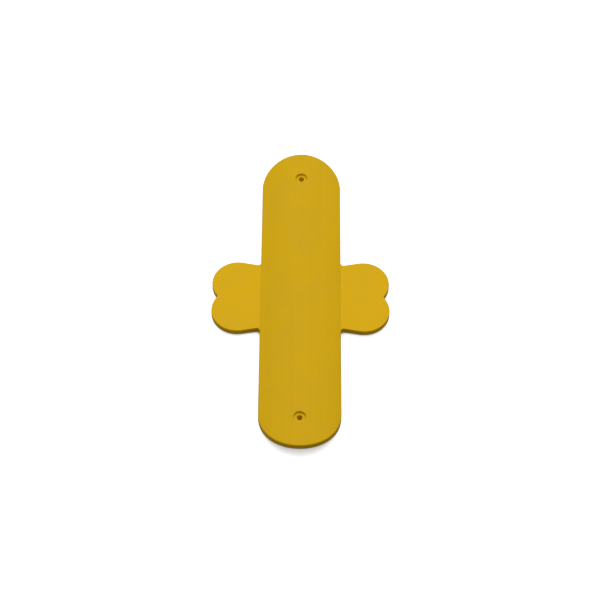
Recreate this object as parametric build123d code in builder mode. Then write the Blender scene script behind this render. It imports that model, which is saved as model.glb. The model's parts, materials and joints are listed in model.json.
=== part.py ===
"""Snap-band phone stand: a soft moulded strip with an arched spring-steel band inside.

The strip lies straight while its band is arched across its width. Pressed at its tips it
snaps into a U: both arms curl up, towards the convex front face. Two lobed wings beside the
middle carry the adhesive pads that hold the stand on the back of a phone. The recessed hole
near each tip is left by a pin that centres the band in the mould.

Frame: +Z up out of the convex front face, +Y along the strip, +X across it through the right
wing. The origin is under the middle of the strip, in the plane that the pads rest on.

The moulding bends anywhere. Here it is cut into rigid links at hinge lines, so that the curl
of each arm and the flex of each wing can be posed. Sizes are in millimetres and degrees.
"""

from build123d import *

import os
from math import asin, atan2, cos, hypot, radians, sin, sqrt, tan

# Strip
STRIP_LENGTH = 120.0
STRIP_WIDTH = 27.0
STRIP_THICKNESS = 2.2
CAMBER_RADIUS = 39.0  # of the front face, across the strip
STRIP_RIM_ROUNDING = 0.3

# Spring band inside the strip
BAND_THICKNESS = 0.3
BAND_MARGIN = 2.5  # soft rim left all round the band

# Pin holes near the tips
PIN_HOLE_Y = 49.1
PIN_HOLE_DIAMETER = 1.9
PIN_RECESS_DIAMETER = 3.9
PIN_RECESS_DEPTH = 0.7

# Wings
WING_SPAN = 59.7  # over both wings
WING_THICKNESS = 2.1
WING_ROOT_HALF_LENGTH = 12.9
LOBE_RADIUS = 8.65
LOBE_OFFSET_Y = 5.55
ROOT_ROUNDING = 1.0
NOTCH_ROUNDING = 0.9
WING_RIM_ROUNDING = 0.25

# Adhesive pads under the wings, each with its release liner
PAD_THICKNESS = 0.4
LINER_THICKNESS = 0.1
PAD_INSET = 1.6

# Hinge lines across the strip
ARM_HINGES = 10
FIRST_HINGE_Y = 17.25
HINGE_PITCH = 3.0
CURL_PER_HINGE = 9.1

# Hinge line along the root of each wing, in its front face: the wing flexes up from flat
WING_HINGE_X = STRIP_WIDTH / 2 + 1.8

# Clearances
HINGE_GAP = 0.1
RELIEF_MARGIN = 0.5  # degrees
EDGE_MARGIN = 0.01  # tells the wings' edges from those on the strip's own side

# Heights, from the plane that the pads rest on
WING_BACK_Z = LINER_THICKNESS + PAD_THICKNESS
WING_FRONT_Z = WING_BACK_Z + WING_THICKNESS
CAMBER_AXIS_Z = WING_FRONT_Z - sqrt(CAMBER_RADIUS**2 - (STRIP_WIDTH / 2) ** 2)
CROWN_Z = CAMBER_AXIS_Z + CAMBER_RADIUS
BAND_RADIUS = CAMBER_RADIUS - STRIP_THICKNESS / 2
HINGE_Z = CAMBER_AXIS_Z + BAND_RADIUS

LOBE_X = WING_SPAN / 2 - LOBE_RADIUS
STOCK_LENGTH = STRIP_LENGTH + 2  # longer than what it cuts
STOCK_TOP_Z = CROWN_Z + 1  # higher than what it cuts

os.makedirs("parts", exist_ok=True)


def export(part, label):
    """Label a finished piece and write it to its own STEP file."""
    part.label = label
    export_step(part, f"parts/{label}.step")


def arched_slot(length, width, outer_radius, thickness):
    """A round-ended strip of this plan, arched about the camber axis."""
    with BuildPart() as strip:
        with BuildSketch():
            SlotOverall(length, width, rotation=90)
        extrude(amount=STOCK_TOP_Z)
        with Locations((0, 0, CAMBER_AXIS_Z)):
            Cylinder(outer_radius, STOCK_LENGTH, rotation=(90, 0, 0), mode=Mode.INTERSECT)
            Cylinder(
                outer_radius - thickness, STOCK_LENGTH, rotation=(90, 0, 0), mode=Mode.SUBTRACT
            )
    return strip.part


def slice_strip(blank, low_y, high_y, hinged_ends):
    """The stretch of a full-length blank between two hinge lines.

    Above the hinge axis a hinged end leans away from its hinge, so that neighbours close up
    at full curl without meeting. hinged_ends says which ends, low and high, are hinged.
    """
    lean = (STOCK_TOP_Z - HINGE_Z) * tan(radians(CURL_PER_HINGE / 2 + RELIEF_MARGIN))
    low_hinged, high_hinged = hinged_ends
    low_end = low_y + low_hinged * HINGE_GAP / 2
    high_end = high_y - high_hinged * HINGE_GAP / 2
    with BuildPart() as link:
        add(blank)
        with BuildSketch(Plane.YZ):
            Polygon(
                (low_end, -1),
                (high_end, -1),
                (high_end, HINGE_Z),
                (high_end - high_hinged * lean, STOCK_TOP_Z),
                (low_end + low_hinged * lean, STOCK_TOP_Z),
                (low_end, HINGE_Z),
                align=None,
            )
        extrude(amount=STRIP_WIDTH, both=True, mode=Mode.INTERSECT)
    return link.part


def lobed_outline(root_x, root_y, lobe_radius, notch_rounding):
    """A flat face for the right wing: two lobes, joined to a straight root by tangents."""
    reach_x = LOBE_X - root_x
    reach_y = LOBE_OFFSET_Y - root_y
    distance = hypot(reach_x, reach_y)
    bearing = atan2(reach_y, reach_x) + asin(lobe_radius / distance)
    tangent = sqrt(distance**2 - lobe_radius**2)
    touch_x = root_x + tangent * cos(bearing)
    touch_y = root_y + tangent * sin(bearing)
    notch_x = LOBE_X + sqrt(lobe_radius**2 - LOBE_OFFSET_Y**2)
    with BuildSketch() as outline:
        with Locations((LOBE_X, LOBE_OFFSET_Y), (LOBE_X, -LOBE_OFFSET_Y)):
            Circle(lobe_radius)
        Polygon(
            (root_x, -root_y),
            (touch_x, -touch_y),
            (LOBE_X, 0),
            (touch_x, touch_y),
            (root_x, root_y),
            align=None,
        )
        fillet(outline.vertices().sort_by_distance((notch_x, 0))[0], notch_rounding)
        with Locations((root_x, 0)):
            Rectangle(
                WING_SPAN, STRIP_LENGTH, align=(Align.MIN, Align.CENTER), mode=Mode.INTERSECT
            )
    return outline.sketch


# ------------------------------------------------------- full-length jacket and band

with BuildPart() as band_blank:
    add(
        arched_slot(
            STRIP_LENGTH - 2 * BAND_MARGIN,
            STRIP_WIDTH - 2 * BAND_MARGIN,
            BAND_RADIUS + BAND_THICKNESS / 2,
            BAND_THICKNESS,
        )
    )
    with Locations((0, PIN_HOLE_Y, CROWN_Z), (0, -PIN_HOLE_Y, CROWN_Z)):
        Hole(PIN_HOLE_DIAMETER / 2)

with BuildPart() as jacket_blank:
    add(arched_slot(STRIP_LENGTH, STRIP_WIDTH, CAMBER_RADIUS, STRIP_THICKNESS))
    front = jacket_blank.faces().filter_by(GeomType.CYLINDER).sort_by(Axis.Z)[-1]
    fillet(front.edges(), STRIP_RIM_ROUNDING)
    add(band_blank.part, mode=Mode.SUBTRACT)
    with Locations((0, PIN_HOLE_Y, CROWN_Z), (0, -PIN_HOLE_Y, CROWN_Z)):
        CounterBoreHole(PIN_HOLE_DIAMETER / 2, PIN_RECESS_DIAMETER / 2, PIN_RECESS_DEPTH)

# ------------------------------------------------------- wings, pads and liners

with BuildPart() as wing_blank:
    with BuildSketch(Plane.XY.offset(WING_BACK_Z)) as wing_and_strip:
        add(lobed_outline(STRIP_WIDTH / 2, WING_ROOT_HALF_LENGTH, LOBE_RADIUS, NOTCH_ROUNDING))
        Rectangle(STRIP_WIDTH, 2 * FIRST_HINGE_Y)
        for end in (1, -1):
            root_corner = (STRIP_WIDTH / 2, end * WING_ROOT_HALF_LENGTH, WING_BACK_Z)
            fillet(wing_and_strip.vertices().sort_by_distance(root_corner)[0], ROOT_ROUNDING)
    extrude(amount=WING_THICKNESS)
    front = wing_blank.faces().sort_by(Axis.Z)[-1]
    wing_rim = front.edges().filter_by(lambda edge: edge.center().X > STRIP_WIDTH / 2 + EDGE_MARGIN)
    fillet(wing_rim, WING_RIM_ROUNDING)

with BuildPart() as wing_root:
    add(wing_blank.part)
    with Locations((WING_HINGE_X - HINGE_GAP / 2, 0, 0)):
        Box(
            WING_HINGE_X - STRIP_WIDTH / 2,
            2 * (WING_ROOT_HALF_LENGTH + ROOT_ROUNDING),
            STOCK_TOP_Z,
            align=(Align.MAX, Align.CENTER, Align.MIN),
            mode=Mode.INTERSECT,
        )

with BuildPart() as right_wing:
    add(wing_blank.part)
    with Locations((WING_HINGE_X + HINGE_GAP / 2, 0, 0)):
        Box(
            WING_SPAN,
            STRIP_LENGTH,
            STOCK_TOP_Z,
            align=(Align.MIN, Align.CENTER, Align.MIN),
            mode=Mode.INTERSECT,
        )

pad_outline = lobed_outline(
    WING_HINGE_X + PAD_INSET,
    WING_ROOT_HALF_LENGTH - PAD_INSET,
    LOBE_RADIUS - PAD_INSET,
    NOTCH_ROUNDING + PAD_INSET,
)

with BuildPart() as right_pad:
    with BuildSketch(Plane.XY.offset(LINER_THICKNESS)):
        add(pad_outline)
    extrude(amount=PAD_THICKNESS)

with BuildPart() as right_liner:
    with BuildSketch():
        add(pad_outline)
    extrude(amount=LINER_THICKNESS)

WING_PIECES = {
    "wing": right_wing.part,
    "adhesive_pad": right_pad.part,
    "release_liner": right_liner.part,
}

for piece_name, piece in WING_PIECES.items():
    export(piece, f"right_{piece_name}")
    with BuildPart() as left_piece:
        add(piece)
        mirror(about=Plane.YZ, mode=Mode.REPLACE)
    export(left_piece.part, f"left_{piece_name}")

# ------------------------------------------------------- centre

with BuildPart() as centre_jacket:
    add(slice_strip(jacket_blank.part, -FIRST_HINGE_Y, FIRST_HINGE_Y, (True, True)))
    add(wing_root.part)
    mirror(wing_root.part, about=Plane.YZ)
export(centre_jacket.part, "centre_jacket")

with BuildPart() as centre_band:
    add(slice_strip(band_blank.part, -FIRST_HINGE_Y, FIRST_HINGE_Y, (True, True)))
export(centre_band.part, "centre_band")

# ------------------------------------------------------- arms

for layer, blank in (("jacket", jacket_blank.part), ("band", band_blank.part)):
    for number in range(1, ARM_HINGES + 1):
        near_y = FIRST_HINGE_Y + (number - 1) * HINGE_PITCH
        is_tip = number == ARM_HINGES
        far_y = STOCK_LENGTH / 2 if is_tip else near_y + HINGE_PITCH
        place = "tip" if is_tip else f"link_{number}"
        upper_link = slice_strip(blank, near_y, far_y, (True, not is_tip))
        export(upper_link, f"upper_{place}_{layer}")
        lower_link = slice_strip(blank, -far_y, -near_y, (not is_tip, True))
        export(lower_link, f"lower_{place}_{layer}")
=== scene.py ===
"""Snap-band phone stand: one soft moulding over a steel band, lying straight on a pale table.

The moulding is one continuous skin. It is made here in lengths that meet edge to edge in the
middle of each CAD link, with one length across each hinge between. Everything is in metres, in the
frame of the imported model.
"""

import json
from math import asin, atan2, cos, hypot, pi, radians, sin, sqrt

import bmesh
import bpy
from mathutils import Matrix, Vector


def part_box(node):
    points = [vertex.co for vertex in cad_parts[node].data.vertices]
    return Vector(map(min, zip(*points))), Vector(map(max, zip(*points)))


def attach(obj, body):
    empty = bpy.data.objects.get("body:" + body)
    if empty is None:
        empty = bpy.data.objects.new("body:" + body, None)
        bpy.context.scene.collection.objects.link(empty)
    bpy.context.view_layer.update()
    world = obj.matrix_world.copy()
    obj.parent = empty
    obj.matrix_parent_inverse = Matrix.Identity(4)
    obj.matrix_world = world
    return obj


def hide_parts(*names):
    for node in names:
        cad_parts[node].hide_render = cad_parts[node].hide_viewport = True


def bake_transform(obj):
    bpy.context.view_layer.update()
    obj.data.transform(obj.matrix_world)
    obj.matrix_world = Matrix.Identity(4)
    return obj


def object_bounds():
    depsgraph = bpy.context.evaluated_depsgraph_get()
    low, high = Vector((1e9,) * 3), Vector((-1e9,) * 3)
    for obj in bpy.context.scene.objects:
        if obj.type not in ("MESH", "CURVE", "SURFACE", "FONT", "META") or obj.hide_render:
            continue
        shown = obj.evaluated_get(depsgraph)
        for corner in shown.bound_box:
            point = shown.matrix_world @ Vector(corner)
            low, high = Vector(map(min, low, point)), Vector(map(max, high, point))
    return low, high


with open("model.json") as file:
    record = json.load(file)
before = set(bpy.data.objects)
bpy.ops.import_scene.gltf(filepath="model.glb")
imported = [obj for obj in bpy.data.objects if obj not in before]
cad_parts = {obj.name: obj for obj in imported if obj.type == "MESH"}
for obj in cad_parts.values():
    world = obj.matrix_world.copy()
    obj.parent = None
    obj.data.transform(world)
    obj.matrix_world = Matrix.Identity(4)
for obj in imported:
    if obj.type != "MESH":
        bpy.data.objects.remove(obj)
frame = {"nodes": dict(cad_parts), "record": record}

CAD_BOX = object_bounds()
MM = 0.001

# ------------------------------------------------------------------ sizes

RECORD = frame["record"]
HINGE = {joint["name"]: Vector(joint["pos_m"]) for joint in RECORD["behaviour"]["joints"]}
MOUNT = {mount["name"]: mount for mount in RECORD["mounts"]}
ARM_HINGES = sum(name.startswith("upper_curl_") for name in HINGE)

tip_low, tip_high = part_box("upper_tip_jacket")
wing_low, wing_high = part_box("right_wing")

# The arched strip
HALF_WIDTH = tip_high.x
HALF_LENGTH = tip_high.y
STRAIGHT_END_Y = HALF_LENGTH - HALF_WIDTH  # where each round end begins
CROWN_Z = tip_high.z
ARCH_RISE = CROWN_Z - wing_high.z
FRONT_RADIUS = (HALF_WIDTH**2 + ARCH_RISE**2) / (2 * ARCH_RISE)
ARCH_AXIS_Z = CROWN_Z - FRONT_RADIUS
BACK_RADIUS = hypot(HALF_WIDTH, tip_low.z - ARCH_AXIS_Z)
FRONT_ROUNDING = 0.3 * MM
BACK_ROUNDING = 0.18 * MM

# The pin hole near each tip
PIN_PLACE = Vector(MOUNT["upper_pin_hole"]["pos_m"])
PIN_HOLE_LINING = 0.05 * MM  # silicone that covers the band's edge inside the hole
PIN_HOLE_RADIUS = MOUNT["upper_pin_hole"]["dims"]["r_mm"] * MM - PIN_HOLE_LINING
PIN_BACK_RADIUS = 0.4 * MM  # the hole narrows towards the back
PIN_RECESS_RADIUS = 1.95 * MM
PIN_RECESS_DEPTH = 0.7 * MM
PIN_ROUNDING = 0.3 * MM
PIN_HOLE_ROUNDING = 0.12 * MM

# The wings
WING_FRONT_Z = wing_high.z
WING_BACK_Z = wing_low.z
WING_ROOT_HALF_LENGTH = 12.9 * MM
ROOT_ROUNDING = 1.0 * MM
NOTCH_ROUNDING = 0.9 * MM
LOBE_RADIUS = 8.65 * MM
LOBE_X = wing_high.x - LOBE_RADIUS
LOBE_Y = wing_high.y - LOBE_RADIUS
WING_FRONT_ROUNDING = 0.25 * MM
WING_BACK_ROUNDING = 0.15 * MM
WING_ROOT_DEPTH = 0.5 * MM  # how far the root is sunk into the strip's edge

# Spacing of the mesh
COLUMNS = 36  # across the strip
CENTRE_ROWS = 24  # along the rigid middle
ROWS_PER_BEND = 8  # across each hinge
END_STEPS = 72  # round each round end
FIELD_RINGS = 14  # from a round end's outline in to its pin hole
ROUNDING_STEPS = 5
ROOT_STEPS = 10
LOBE_STEPS = 48
NOTCH_STEPS = 6
WELD_DISTANCE = 0.001 * MM
SHARP_ANGLE = radians(50)
SUPPORT = 0.08 * MM  # flat rim beside a rounding, which keeps the broad faces' shading even
BEND_HALF_LENGTH = (HINGE["upper_curl_2"].y - HINGE["upper_curl_1"].y) / 2


# ------------------------------------------------------------------ surfaces of the strip


def front_height(x):
    """Height of the arched front face at this distance from the middle line."""
    return ARCH_AXIS_Z + sqrt(FRONT_RADIUS**2 - x**2)


def back_height(x):
    """Height of the arched back face at this distance from the middle line."""
    return ARCH_AXIS_Z + sqrt(BACK_RADIUS**2 - x**2)


def rounding_profile(radius):
    """(inset from the outline, drop from the face) round a rim, from the face to the wall."""
    turns = [pi / 2 * step / ROUNDING_STEPS for step in range(ROUNDING_STEPS + 1)]
    return [(radius + SUPPORT, 0)] + [
        (radius * (1 - sin(turn)), radius * (1 - cos(turn))) for turn in turns
    ]


def even_steps(low, high, count):
    """count + 1 values from low to high."""
    return [low + (high - low) * step / count for step in range(count + 1)]


def strip_section():
    """The strip's cross-section, as a closed loop of (x, z)."""
    front_rim = rounding_profile(FRONT_ROUNDING)
    back_rim = rounding_profile(BACK_ROUNDING)
    front_edge = HALF_WIDTH - front_rim[0][0]
    back_edge = HALF_WIDTH - back_rim[0][0]
    front = [(x, front_height(x)) for x in even_steps(-front_edge, front_edge, COLUMNS)]
    side = [
        (HALF_WIDTH - inset, front_height(HALF_WIDTH - inset) - drop)
        for inset, drop in front_rim[1:]
    ] + [
        (HALF_WIDTH - inset, back_height(HALF_WIDTH - inset) + drop)
        for inset, drop in reversed(back_rim[1:])
    ]
    back = [(x, back_height(x)) for x in even_steps(back_edge, -back_edge, COLUMNS)]
    other_side = [(-x, z) for x, z in reversed(side)]
    return front + side + back + other_side


# ------------------------------------------------------------------ mesh helpers


def add_rows(mesh, rows, closed=False):
    """Quads between neighbouring rows of points.

    closed joins each row's last point to its first.
    """
    vertices = [[mesh.verts.new(point) for point in row] for row in rows]
    count = len(rows[0])
    for near, far in zip(vertices, vertices[1:]):
        for index in range(count if closed else count - 1):
            beside = (index + 1) % count
            mesh.faces.new((near[index], near[beside], far[beside], far[index]))
    return vertices


def weld_and_close(mesh):
    """Joins patches that share an edge, notes the rims, which get a painted highlight and a rubbed
    gloss, then closes any open end flat.

    A point stands out as a rim in so far as it faces half way between face and wall.
    """
    bmesh.ops.remove_doubles(mesh, verts=mesh.verts, dist=WELD_DISTANCE)
    bmesh.ops.recalc_face_normals(mesh, faces=mesh.faces)
    mesh.normal_update()
    rim_layer = mesh.verts.layers.float.new("rim_highlight_and_rub")
    for vertex in mesh.verts:
        outwards = Vector((0, 0, 1))
        if abs(vertex.co.x) < HALF_WIDTH:
            outwards = Vector((vertex.co.x, 0, vertex.co.z - ARCH_AXIS_Z)).normalized()
        facing = abs(vertex.normal.dot(outwards))
        vertex[rim_layer] = 1 - abs(2 * facing - 1)
    open_edges = [edge for edge in mesh.edges if edge.is_boundary]
    bmesh.ops.holes_fill(mesh, edges=open_edges, sides=0)
    bmesh.ops.recalc_face_normals(mesh, faces=mesh.faces)


def finish_skin(mesh, name):
    """Turns a closed bmesh into a smooth-shaded piece, which keeps each point's place at rest.

    The finish is laid out on those places, so that it stays put when the piece bends.
    """
    data = bpy.data.meshes.new(name)
    mesh.to_mesh(data)
    mesh.free()
    data.shade_smooth()
    data.set_sharp_from_angle(angle=SHARP_ANGLE)
    place = data.attributes.new("rest_place", "FLOAT_VECTOR", "POINT")
    for vertex in data.vertices:
        place.data[vertex.index].vector = vertex.co
    piece = bpy.data.objects.new(name, data)
    bpy.context.scene.collection.objects.link(piece)
    return piece


# ------------------------------------------------------------------ pieces of the moulding


def strip_length(name, low_y, high_y, rows):
    """A straight length of the strip, with flat ends."""
    section = strip_section()
    mesh = bmesh.new()
    sections = [[(x, y, z) for x, z in section] for y in even_steps(low_y, high_y, rows)]
    add_rows(mesh, sections, closed=True)
    weld_and_close(mesh)
    return finish_skin(mesh, name)


def end_outline(inset):
    """Plan of a round end, drawn in by inset along its arc: (arc, flat end)."""
    reach = HALF_WIDTH - inset
    arc = [
        (reach * cos(pi * step / END_STEPS), STRAIGHT_END_Y + reach * sin(pi * step / END_STEPS))
        for step in range(END_STEPS + 1)
    ]
    flat = [(x, STRAIGHT_END_Y) for x in even_steps(-reach, reach, COLUMNS)[1:-1]]
    return arc, flat


def pin_bearings():
    """The directions from the pin hole to the points of a round end's outline."""
    arc, flat = end_outline(0)
    return [atan2(y - PIN_PLACE.y, x) for x, y in arc + flat]


def pin_ring(radius, height):
    """A circle about the pin hole, at the height that the function gives for each x."""
    return [
        (radius * cos(bearing), PIN_PLACE.y + radius * sin(bearing), height(radius * cos(bearing)))
        for bearing in pin_bearings()
    ]


def end_face(height, inset, opening):
    """Rings of a round end's front or back face, from its outline in to the pin hole."""
    arc, flat = end_outline(inset)
    inner = pin_ring(opening, height)
    rings = []
    for share in even_steps(0, 1, FIELD_RINGS):
        ring = []
        for (outer_x, outer_y), (inner_x, inner_y, _) in zip(arc + flat, inner):
            x = outer_x + (inner_x - outer_x) * share
            y = outer_y + (inner_y - outer_y) * share
            ring.append((x, y, height(x)))
        rings.append(ring)
    return rings


def pin_wall():
    """Rings from the front face down into the recess and on through the hole."""
    floor_z = CROWN_Z - PIN_RECESS_DEPTH
    rim = rounding_profile(PIN_ROUNDING)[1:]
    inner_rim = rounding_profile(PIN_HOLE_ROUNDING)[1:]
    rings = [
        pin_ring(PIN_RECESS_RADIUS + inset, lambda x: front_height(x) - drop)
        for inset, drop in rim
    ]
    rings += [
        pin_ring(PIN_RECESS_RADIUS - inset, lambda x: floor_z + drop)
        for inset, drop in reversed(rim)
    ]
    rings += [
        pin_ring(PIN_HOLE_RADIUS + inset, lambda x: floor_z - drop)
        for inset, drop in inner_rim
    ]
    rings.append(pin_ring(PIN_BACK_RADIUS, back_height))
    return rings


def end_rim():
    """Rows round the arc of a round end, from the front face over the wall to the back."""
    rows = []
    for inset, drop in rounding_profile(FRONT_ROUNDING):
        rows.append([(x, y, front_height(x) - drop) for x, y in end_outline(inset)[0]])
    for inset, rise in reversed(rounding_profile(BACK_ROUNDING)):
        rows.append([(x, y, back_height(x) + rise) for x, y in end_outline(inset)[0]])
    return rows


def round_end(name, direction):
    """The rigid round end of an arm, with its pin hole. direction is 1 for the upper arm."""
    mesh = bmesh.new()
    front_inset = rounding_profile(FRONT_ROUNDING)[0][0]
    back_inset = rounding_profile(BACK_ROUNDING)[0][0]
    add_rows(mesh, end_face(front_height, front_inset, PIN_RECESS_RADIUS + PIN_ROUNDING), True)
    add_rows(mesh, end_face(back_height, back_inset, PIN_BACK_RADIUS), True)
    add_rows(mesh, pin_wall(), True)
    add_rows(mesh, end_rim())
    bmesh.ops.scale(mesh, vec=(1, direction, 1), verts=mesh.verts)
    weld_and_close(mesh)
    return finish_skin(mesh, name)


def arc_points(centre, radius, start, end, count):
    """Points along an arc, from the angle start to the angle end."""
    return [
        (centre[0] + radius * cos(angle), centre[1] + radius * sin(angle))
        for angle in even_steps(start, end, count)
    ]


def wing_outline(inset):
    """Plan of the right wing, drawn in by inset, from its lower root round to its upper root.

    Each half is a root rounding, a straight tangent, a lobe and half of the notch between the
    lobes. An inset shrinks the lobe and widens the two hollow roundings about fixed centres.
    """
    corner_to_lobe = Vector((LOBE_X - HALF_WIDTH, LOBE_Y - WING_ROOT_HALF_LENGTH))
    slope = atan2(corner_to_lobe.y, corner_to_lobe.x) + asin(LOBE_RADIUS / corner_to_lobe.length)
    root_centre = (
        HALF_WIDTH + ROOT_ROUNDING,
        WING_ROOT_HALF_LENGTH + ROOT_ROUNDING * (1 + sin(slope)) / cos(slope),
    )
    notch_x = LOBE_X + sqrt((LOBE_RADIUS + NOTCH_ROUNDING) ** 2 - LOBE_Y**2)
    to_notch = atan2(-LOBE_Y, notch_x - LOBE_X)
    root = arc_points(root_centre, ROOT_ROUNDING + inset, pi, 1.5 * pi + slope, ROOT_STEPS)
    lobe = arc_points(
        (LOBE_X, LOBE_Y), LOBE_RADIUS - inset, pi / 2 + slope, to_notch, LOBE_STEPS
    )
    notch = arc_points((notch_x, 0), NOTCH_ROUNDING + inset, pi + to_notch, pi, NOTCH_STEPS)
    sunk_root = (HALF_WIDTH - WING_ROOT_DEPTH, root_centre[1])
    upper_half = [sunk_root] + root + lobe + notch
    lower_half = [(x, -y) for x, y in upper_half]
    return lower_half + list(reversed(upper_half[:-1]))


def wing_skin(name, side):
    """A wing from its root in the strip's edge. side is 1 for the right wing."""
    mesh = bmesh.new()
    rows = []
    for inset, drop in rounding_profile(WING_FRONT_ROUNDING):
        rows.append([(x, y, WING_FRONT_Z - drop) for x, y in wing_outline(inset)])
    for inset, rise in reversed(rounding_profile(WING_BACK_ROUNDING)):
        rows.append([(x, y, WING_BACK_Z + rise) for x, y in wing_outline(inset)])
    vertices = add_rows(mesh, rows)
    mesh.faces.new(vertices[0])
    mesh.faces.new(vertices[-1])
    hinge_x = HINGE["right_wing_flex"].x
    for x in even_steps(HALF_WIDTH, 2 * hinge_x - HALF_WIDTH, ROWS_PER_BEND):
        everything = list(mesh.verts) + list(mesh.edges) + list(mesh.faces)
        bmesh.ops.bisect_plane(mesh, geom=everything, plane_co=(x, 0, 0), plane_no=(1, 0, 0))
    bmesh.ops.scale(mesh, vec=(side, 1, 1), verts=mesh.verts)
    weld_and_close(mesh)
    return finish_skin(mesh, name)


# ------------------------------------------------------------------ node helpers

# The part of 0 to 1 that a noise texture's values mostly keep to
NOISE_LOW = 0.3
NOISE_HIGH = 0.7


def new_material(name):
    """An empty node material: (material, node tree, principled shader)."""
    material = bpy.data.materials.new(name)
    material.use_nodes = True
    tree = material.node_tree
    tree.nodes.clear()
    shader = tree.nodes.new("ShaderNodeBsdfPrincipled")
    output = tree.nodes.new("ShaderNodeOutputMaterial")
    tree.links.new(shader.outputs["BSDF"], output.inputs["Surface"])
    return material, tree, shader


def add_node(tree, kind, values=None, **settings):
    """A node with its settings and input values. An input value may be another node's output."""
    node = tree.nodes.new(kind)
    for setting, value in settings.items():
        setattr(node, setting, value)
    for socket, value in (values or {}).items():
        if isinstance(value, bpy.types.NodeSocket):
            tree.links.new(value, node.inputs[socket])
        else:
            node.inputs[socket].default_value = value
    return node


def calculate(tree, operation, first, second):
    """The result of one Math node."""
    node = add_node(tree, "ShaderNodeMath", {0: first, 1: second}, operation=operation)
    return node.outputs[0]


def remap(tree, value, from_low, from_high, to_low, to_high):
    """value moved smoothly from one range to another, and held at its ends."""
    node = add_node(
        tree,
        "ShaderNodeMapRange",
        {
            "Value": value,
            "From Min": from_low,
            "From Max": from_high,
            "To Min": to_low,
            "To Max": to_high,
        },
        interpolation_type="SMOOTHSTEP",
    )
    return node.outputs["Result"]


def spread_noise(tree, noise, low, high):
    """A noise value, which seldom leaves its middle, spread out over low to high."""
    return remap(tree, noise, NOISE_LOW, NOISE_HIGH, low, high)


def mix_colour(tree, share, first, second, blend="MIX"):
    """A Mix Color node's result. share, first and second may be sockets or values."""
    node = tree.nodes.new("ShaderNodeMix")
    node.data_type = "RGBA"
    node.blend_type = blend
    factor = node.inputs["Factor"]
    colours = [socket for socket in node.inputs if socket.type == "RGBA"]
    for socket, value in zip([factor] + colours, (share, first, second)):
        if isinstance(value, bpy.types.NodeSocket):
            tree.links.new(value, socket)
        else:
            socket.default_value = value
    return next(socket for socket in node.outputs if socket.type == "RGBA")


def new_group(name, inputs, outputs):
    """A shader node group with float or vector sockets: (group, its input node, its output node).

    inputs maps a name to (socket kind, default value), and outputs maps a name to its kind.
    """
    group = bpy.data.node_groups.new(name, "ShaderNodeTree")
    for socket_name, (kind, value) in inputs.items():
        socket = group.interface.new_socket(socket_name, in_out="INPUT", socket_type=kind)
        if value is not None:
            socket.default_value = value
    for socket_name, kind in outputs.items():
        group.interface.new_socket(socket_name, in_out="OUTPUT", socket_type=kind)
    return group, group.nodes.new("NodeGroupInput"), group.nodes.new("NodeGroupOutput")


def place_group(tree, group, values):
    """The group as a node of this material, with its own values."""
    return add_node(tree, "ShaderNodeGroup", values, node_tree=group)


def surface_bump(tree, height, relief, normal=None):
    """A normal from a height of 0 to 1 that stands for relief metres."""
    values = {"Height": height, "Strength": 1.0, "Distance": relief}
    if normal:
        values["Normal"] = normal
    return add_node(tree, "ShaderNodeBump", values).outputs["Normal"]


# ------------------------------------------------------------------ shared effects


def build_speckle():
    """Specks of dust: a mask of small soft dots, scattered unevenly."""
    group, source, result = new_group(
        "dust_specks",
        {
            "Place": ("NodeSocketVector", None),
            "Specks per Metre": ("NodeSocketFloat", 500.0),
            "Speck Size": ("NodeSocketFloat", 0.1),
            "Coverage": ("NodeSocketFloat", 0.4),
        },
        {"Mask": "NodeSocketFloat"},
    )
    cells = add_node(
        group,
        "ShaderNodeTexVoronoi",
        {"Vector": source.outputs["Place"], "Scale": source.outputs["Specks per Metre"]},
    )
    dot = remap(group, cells.outputs["Distance"], 0.0, source.outputs["Speck Size"], 1.0, 0.0)
    tone = add_node(group, "ShaderNodeSeparateColor", {"Color": cells.outputs["Color"]})
    present = calculate(group, "LESS_THAN", tone.outputs[0], source.outputs["Coverage"])
    mask = calculate(group, "MULTIPLY", dot, present)
    group.links.new(mask, result.inputs["Mask"])
    return group


def build_streaks():
    """Streaks drawn along Y: a value round 0.5 that changes fast across and slowly along."""
    group, source, result = new_group(
        "drawn_streaks",
        {
            "Place": ("NodeSocketVector", None),
            "Streaks per Metre": ("NodeSocketFloat", 600.0),
            "Stretch": ("NodeSocketVector", (1.0, 0.02, 1.0)),
        },
        {"Value": "NodeSocketFloat"},
    )
    stretched = add_node(
        group,
        "ShaderNodeVectorMath",
        {0: source.outputs["Place"], 1: source.outputs["Stretch"]},
        operation="MULTIPLY",
    )
    noise = add_node(
        group,
        "ShaderNodeTexNoise",
        {
            "Vector": stretched.outputs["Vector"],
            "Scale": source.outputs["Streaks per Metre"],
            "Detail": 3.0,
            "Roughness": 0.55,
        },
    )
    group.links.new(noise.outputs["Fac"], result.inputs["Value"])
    return group


def build_grain():
    """The matt texture that a fine-blasted mould leaves: pits on a gentle unevenness."""
    group, source, result = new_group(
        "moulded_grain",
        {
            "Place": ("NodeSocketVector", None),
            "Grains per Metre": ("NodeSocketFloat", 4000.0),
            "Waves per Metre": ("NodeSocketFloat", 120.0),
        },
        {"Grain": "NodeSocketFloat", "Waves": "NodeSocketFloat"},
    )
    grain = add_node(
        group,
        "ShaderNodeTexNoise",
        {
            "Vector": source.outputs["Place"],
            "Scale": source.outputs["Grains per Metre"],
            "Detail": 2.0,
        },
    )
    waves = add_node(
        group,
        "ShaderNodeTexNoise",
        {
            "Vector": source.outputs["Place"],
            "Scale": source.outputs["Waves per Metre"],
            "Detail": 2.0,
        },
    )
    group.links.new(grain.outputs["Fac"], result.inputs["Grain"])
    group.links.new(waves.outputs["Fac"], result.inputs["Waves"])
    return group


DUST_SPECKS = build_speckle()
DRAWN_STREAKS = build_streaks()
MOULDED_GRAIN = build_grain()


# ------------------------------------------------------------------ materials


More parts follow.
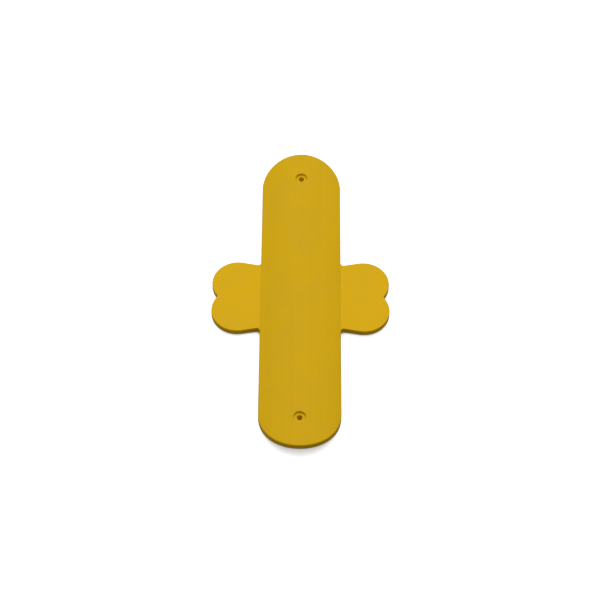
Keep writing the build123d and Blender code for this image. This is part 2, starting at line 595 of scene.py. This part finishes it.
def strip_mask(tree, place):
    """1 on the strip and 0 on the wings. The strip is painted a shade darker: partly painted shade
    for its arch, partly the steel band beneath deepening its colour.
    """
    fade_start = HALF_WIDTH - 0.4 * MM
    fade_end = HALF_WIDTH + 0.6 * MM
    parts = add_node(tree, "ShaderNodeSeparateXYZ", {0: place})
    across = calculate(tree, "ABSOLUTE", parts.outputs["X"], 0.0)
    return remap(tree, across, fade_start, fade_end, 1.0, 0.0)


def soft_moulding():
    """Mustard-yellow silicone, dyed through, matt, a little dusty and streaked lengthwise, with
    painted shade on the strip and a painted highlight on the rims.
    """
    material, tree, shader = new_material("mustard_silicone")
    place = add_node(tree, "ShaderNodeAttribute", attribute_name="rest_place").outputs["Vector"]
    rim = add_node(tree, "ShaderNodeAttribute", attribute_name="rim_highlight_and_rub").outputs["Fac"]
    streaks = place_group(
        tree, DRAWN_STREAKS, {"Place": place, "Streaks per Metre": 420.0}
    ).outputs["Value"]
    grain = place_group(tree, MOULDED_GRAIN, {"Place": place})
    specks = place_group(
        tree,
        DUST_SPECKS,
        {"Place": place, "Specks per Metre": 420.0, "Speck Size": 0.10, "Coverage": 0.30},
    ).outputs["Mask"]
    strip = strip_mask(tree, place)

    wing_yellow = (0.600, 0.352, 0.0006, 1)
    # painted shade: the strip a shade darker than the wings, partly for its arch, partly for the
    # steel band beneath
    shaded_strip_yellow = (0.548, 0.329, 0.0008, 1)
    # painted highlight: the rounded rims painted paler, as where they catch the light
    rim_highlight_yellow = (0.640, 0.410, 0.012, 1)
    dust_grey = (0.50, 0.42, 0.20, 1)
    most_streak = 0.016
    rim_highlight_strength = 0.10
    dustiness = 0.16
    colour = mix_colour(tree, strip, wing_yellow, shaded_strip_yellow)
    unevenness = spread_noise(tree, grain.outputs["Waves"], 0.982, 1.018)
    streak_tone = spread_noise(tree, streaks, -most_streak, most_streak)
    streak_tone = calculate(tree, "MULTIPLY", streak_tone, strip)
    tone = calculate(tree, "ADD", unevenness, streak_tone)
    tone_colour = add_node(tree, "ShaderNodeCombineColor", {0: tone, 1: tone, 2: tone})
    colour = mix_colour(tree, 1.0, colour, tone_colour.outputs["Color"], "MULTIPLY")
    # the rims painted paler: a painted highlight
    rim_share = calculate(tree, "MULTIPLY", rim, rim_highlight_strength)
    colour = mix_colour(tree, rim_share, colour, rim_highlight_yellow)
    speck_share = calculate(tree, "MULTIPLY", specks, dustiness)
    colour = mix_colour(tree, speck_share, colour, dust_grey)
    tree.links.new(colour, shader.inputs["Base Color"])

    rim_polish = 0.12
    wave_height = 0.03 * MM
    streak_depth = 0.004 * MM
    grain_depth = 0.006 * MM
    matt = spread_noise(tree, grain.outputs["Waves"], 0.54, 0.64)
    polish = calculate(tree, "MULTIPLY", rim, rim_polish)
    tree.links.new(calculate(tree, "SUBTRACT", matt, polish), shader.inputs["Roughness"])
    normal = surface_bump(tree, grain.outputs["Waves"], wave_height)
    streak_height = calculate(tree, "MULTIPLY", streaks, strip)
    normal = surface_bump(tree, streak_height, streak_depth, normal)
    normal = surface_bump(tree, grain.outputs["Grain"], grain_depth, normal)
    tree.links.new(normal, shader.inputs["Normal"])
    shader.inputs["IOR"].default_value = 1.41
    shader.inputs["Specular IOR Level"].default_value = 0.11
    return material


def rolled_steel():
    """Thin spring steel, rolled lengthwise, with faint scratches and a warm oxide tint."""
    material, tree, shader = new_material("rolled_spring_steel")
    place = add_node(tree, "ShaderNodeTexCoord").outputs["Object"]
    rolling = place_group(
        tree, DRAWN_STREAKS, {"Place": place, "Streaks per Metre": 2600.0}
    ).outputs["Value"]
    grain = place_group(tree, MOULDED_GRAIN, {"Place": place, "Waves per Metre": 260.0})
    bright = (0.46, 0.46, 0.47, 1)
    oxide = (0.33, 0.29, 0.24, 1)
    most_oxide = 0.6
    roll_mark_depth = 0.004 * MM
    tint = remap(tree, grain.outputs["Waves"], 0.42, 0.75, 0.0, most_oxide)
    tree.links.new(mix_colour(tree, tint, bright, oxide), shader.inputs["Base Color"])
    rough = remap(tree, rolling, 0.25, 0.75, 0.24, 0.46)
    tree.links.new(rough, shader.inputs["Roughness"])
    shader.inputs["Metallic"].default_value = 1.0
    tree.links.new(surface_bump(tree, rolling, roll_mark_depth), shader.inputs["Normal"])
    return material


def tacky_film():
    """Milky double-sided adhesive, with small trapped bubbles and a slightly uneven gloss."""
    material, tree, shader = new_material("milky_adhesive")
    place = add_node(tree, "ShaderNodeTexCoord").outputs["Object"]
    grain = place_group(tree, MOULDED_GRAIN, {"Place": place, "Waves per Metre": 350.0})
    bubbles = place_group(
        tree,
        DUST_SPECKS,
        {"Place": place, "Specks per Metre": 1100.0, "Speck Size": 0.28, "Coverage": 0.55},
    ).outputs["Mask"]
    milk = (0.62, 0.61, 0.56, 1)
    thin = (0.70, 0.66, 0.50, 1)
    trapped_air = (0.85, 0.85, 0.83, 1)
    air_share = 0.45
    bubble_height = 0.02 * MM
    cloud = spread_noise(tree, grain.outputs["Waves"], 0.0, 1.0)
    colour = mix_colour(tree, cloud, milk, thin)
    bubble_share = calculate(tree, "MULTIPLY", bubbles, air_share)
    colour = mix_colour(tree, bubble_share, colour, trapped_air)
    tree.links.new(colour, shader.inputs["Base Color"])
    gloss = spread_noise(tree, grain.outputs["Grain"], 0.22, 0.36)
    tree.links.new(gloss, shader.inputs["Roughness"])
    tree.links.new(surface_bump(tree, bubbles, bubble_height), shader.inputs["Normal"])
    shader.inputs["IOR"].default_value = 1.47
    return material


def liner_paper():
    """Waxed release paper: ivory, faintly fibrous, with a soft sheen and light creases."""
    material, tree, shader = new_material("waxed_release_paper")
    place = add_node(tree, "ShaderNodeTexCoord").outputs["Object"]
    fibres = place_group(
        tree,
        DRAWN_STREAKS,
        {"Place": place, "Streaks per Metre": 1500.0, "Stretch": (1.0, 0.22, 1.0)},
    ).outputs["Value"]
    grain = place_group(tree, MOULDED_GRAIN, {"Place": place, "Waves per Metre": 180.0})
    ivory = (0.80, 0.77, 0.68, 1)
    shade = (0.70, 0.66, 0.55, 1)
    most_shade = 0.7
    crease_height = 0.06 * MM
    fibre_height = 0.006 * MM
    fibre_share = remap(tree, fibres, 0.35, 0.7, 0.0, most_shade)
    colour = mix_colour(tree, fibre_share, ivory, shade)
    tree.links.new(colour, shader.inputs["Base Color"])
    wax = spread_noise(tree, grain.outputs["Waves"], 0.34, 0.5)
    tree.links.new(wax, shader.inputs["Roughness"])
    normal = surface_bump(tree, grain.outputs["Waves"], crease_height)
    normal = surface_bump(tree, fibres, fibre_height, normal)
    tree.links.new(normal, shader.inputs["Normal"])
    return material


def pale_table():
    """A plain matt tabletop that looks evenly white to the camera.

    It glows for camera rays alone, fading out close to the stand so that a faint shadow stays.
    To every other ray it is a mid grey, which keeps the stand's low walls deep in tone.
    """
    material, tree, shader = new_material("pale_tabletop")
    place = add_node(tree, "ShaderNodeTexCoord").outputs["Object"]
    grain = place_group(tree, MOULDED_GRAIN, {"Place": place, "Waves per Metre": 20.0})
    seen = add_node(tree, "ShaderNodeLightPath").outputs["Is Camera Ray"]

    white_low = (0.80, 0.80, 0.80, 1)
    white_high = (0.82, 0.82, 0.82, 1)
    shed_grey = (0.38, 0.38, 0.38, 1)
    tone = spread_noise(tree, grain.outputs["Waves"], 0.0, 1.0)
    white = mix_colour(tree, tone, white_low, white_high)
    tree.links.new(mix_colour(tree, seen, shed_grey, white), shader.inputs["Base Color"])
    shader.inputs["Roughness"].default_value = 0.9
    shader.inputs["Specular IOR Level"].default_value = 0.1

    shadow_reach = 8 * MM
    full_glow = 0.6
    openness = add_node(tree, "ShaderNodeAmbientOcclusion", {"Distance": shadow_reach})
    open_floor = remap(tree, openness.outputs["AO"], 0.10, 0.45, 0.0, 1.0)
    glow = calculate(tree, "MULTIPLY", seen, open_floor)
    glow = calculate(tree, "MULTIPLY", glow, full_glow)
    shader.inputs["Emission Color"].default_value = (1, 1, 1, 1)
    tree.links.new(glow, shader.inputs["Emission Strength"])
    return material


SILICONE = soft_moulding()
STEEL = rolled_steel()
ADHESIVE = tacky_film()
LINER = liner_paper()


# ------------------------------------------------------------------ the moulding's pieces


def dress_skin(piece):
    """Gives a piece of the moulding its silicone."""
    piece.data.materials.append(SILICONE)
    return piece


def make_centre():
    """The middle of the strip, rigid between the first bends of the two arms."""
    reach = HINGE["upper_curl_1"].y - BEND_HALF_LENGTH
    centre = dress_skin(strip_length("centre_skin", -reach, reach, CENTRE_ROWS))
    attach(centre, "centre")
    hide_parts("centre_jacket")


def make_arm(arm, direction):
    """One arm: a straight length across each hinge, then the round end.

    direction is 1 for the upper arm, which runs towards +Y, and -1 for the lower arm.
    """
    for number in range(1, ARM_HINGES + 1):
        is_last = number == ARM_HINGES
        far_body = f"{arm}_tip" if is_last else f"{arm}_link_{number}"
        hinge = HINGE[f"{arm}_curl_{number}"]
        low_y = abs(hinge.y) - BEND_HALF_LENGTH
        high_y = STRAIGHT_END_Y if is_last else abs(hinge.y) + BEND_HALF_LENGTH
        ends = sorted((direction * low_y, direction * high_y))
        bend = dress_skin(strip_length(f"{arm}_bend_{number}_skin", *ends, ROWS_PER_BEND))
        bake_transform(bend)
        if not is_last:
            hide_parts(f"{far_body}_jacket")
    tip = dress_skin(round_end(f"{arm}_tip_skin", direction))
    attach(tip, f"{arm}_tip")
    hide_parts(f"{arm}_tip_jacket")


def make_wing(side_name, side):
    """One wing, from its root. side is 1 for the right wing, -1 for the left."""
    wing = dress_skin(wing_skin(f"{side_name}_wing_skin", side))
    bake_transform(wing)
    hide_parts(f"{side_name}_wing")


make_centre()
make_arm("upper", 1)
make_arm("lower", -1)
make_wing("right", 1)
make_wing("left", -1)

# ------------------------------------------------------------------ carried-over CAD nodes


def refinish(node_name, material):
    """Gives a CAD node a finished material and leaves its shape alone."""
    node = frame["nodes"][node_name]
    if not node.material_slots:
        node.data.materials.append(material)
    for material_slot in node.material_slots:
        material_slot.material = material


CAD_FINISHES = {
    "_band": STEEL,
    "_adhesive_pad": ADHESIVE,
    "_release_liner": LINER,
}

for node_name in frame["nodes"]:
    for ending, finish in CAD_FINISHES.items():
        if node_name.endswith(ending):
            refinish(node_name, finish)

# ------------------------------------------------------------------ table, light and camera

CAMERA_ELEVATION = radians(54.5)
CAMERA_ROLL = radians(0.43)
CAMERA_DISTANCE = 0.6605
CAMERA_LENS = 118.2  # millimetres
SENSOR_WIDTH = 36  # millimetres
CLIP_START = 0.01
CLIP_END = 20
AIM_RIGHT = -0.2 * MM  # where the view is centred, from the crown of the strip's middle
AIM_UP = -2.63 * MM

TABLE_RADIUS = 1.0
TABLE_STEPS = 96  # round its edge
TABLE_GAP = 0.01 * MM  # keeps the table clear of the release liners

SOFTBOX_PLACE = Vector((0, 0.5, 1.1))
SOFTBOX_SIZE = 1.4
SOFTBOX_POWER = 19.0

SURROUND_LIGHT = 0.27  # from all round, beside the softbox
SURROUND_SEEN = 1.1  # as the camera sees it, past the table's edge


def lay_table():
    """A broad round tabletop."""
    mesh = bmesh.new()
    bmesh.ops.create_circle(mesh, cap_ends=True, segments=TABLE_STEPS, radius=TABLE_RADIUS)
    data = bpy.data.meshes.new("tabletop")
    mesh.to_mesh(data)
    mesh.free()
    data.materials.append(pale_table())
    table = bpy.data.objects.new("tabletop", data)
    table.location.z = CAD_BOX[0].z - TABLE_GAP
    bpy.context.scene.collection.objects.link(table)


def add_softbox():
    """A large square lamp over the stand, aimed at it."""
    lamp = bpy.data.lights.new("overhead_softbox", "AREA")
    lamp.shape = "SQUARE"
    lamp.size = SOFTBOX_SIZE
    lamp.energy = SOFTBOX_POWER
    box = bpy.data.objects.new("overhead_softbox", lamp)
    box.location = SOFTBOX_PLACE
    box.rotation_euler = (-SOFTBOX_PLACE).to_track_quat("-Z", "Y").to_euler()
    bpy.context.scene.collection.objects.link(box)


def light_studio():
    """Soft light from above and a little behind, in a dim surround that looks plain white."""
    add_softbox()
    world = bpy.data.worlds.new("studio_surround")
    world.use_nodes = True
    tree = world.node_tree
    seen = add_node(tree, "ShaderNodeLightPath").outputs["Is Camera Ray"]
    strength = remap(tree, seen, 0.0, 1.0, SURROUND_LIGHT, SURROUND_SEEN)
    background = tree.nodes["Background"]
    background.inputs["Color"].default_value = (1, 1, 1, 1)
    tree.links.new(strength, background.inputs["Strength"])
    bpy.context.scene.world = world


def place_camera():
    """The camera, raised beyond the lower tip and looking along the strip."""
    lens = bpy.data.cameras.new("camera")
    lens.lens = CAMERA_LENS
    lens.sensor_width = SENSOR_WIDTH
    lens.clip_start = CLIP_START
    lens.clip_end = CLIP_END
    camera = bpy.data.objects.new("camera", lens)
    turn = Matrix.Rotation(pi / 2 - CAMERA_ELEVATION, 3, "X")
    turn = turn @ Matrix.Rotation(CAMERA_ROLL, 3, "Z")
    aim_offset = turn @ Vector((AIM_RIGHT, AIM_UP, CAMERA_DISTANCE))
    camera.location = Vector((0, 0, CROWN_Z)) + aim_offset
    camera.rotation_euler = turn.to_euler()
    bpy.context.scene.collection.objects.link(camera)
    bpy.context.scene.camera = camera


lay_table()
light_studio()
place_camera()
bpy.context.scene.view_settings.view_transform = "Standard"
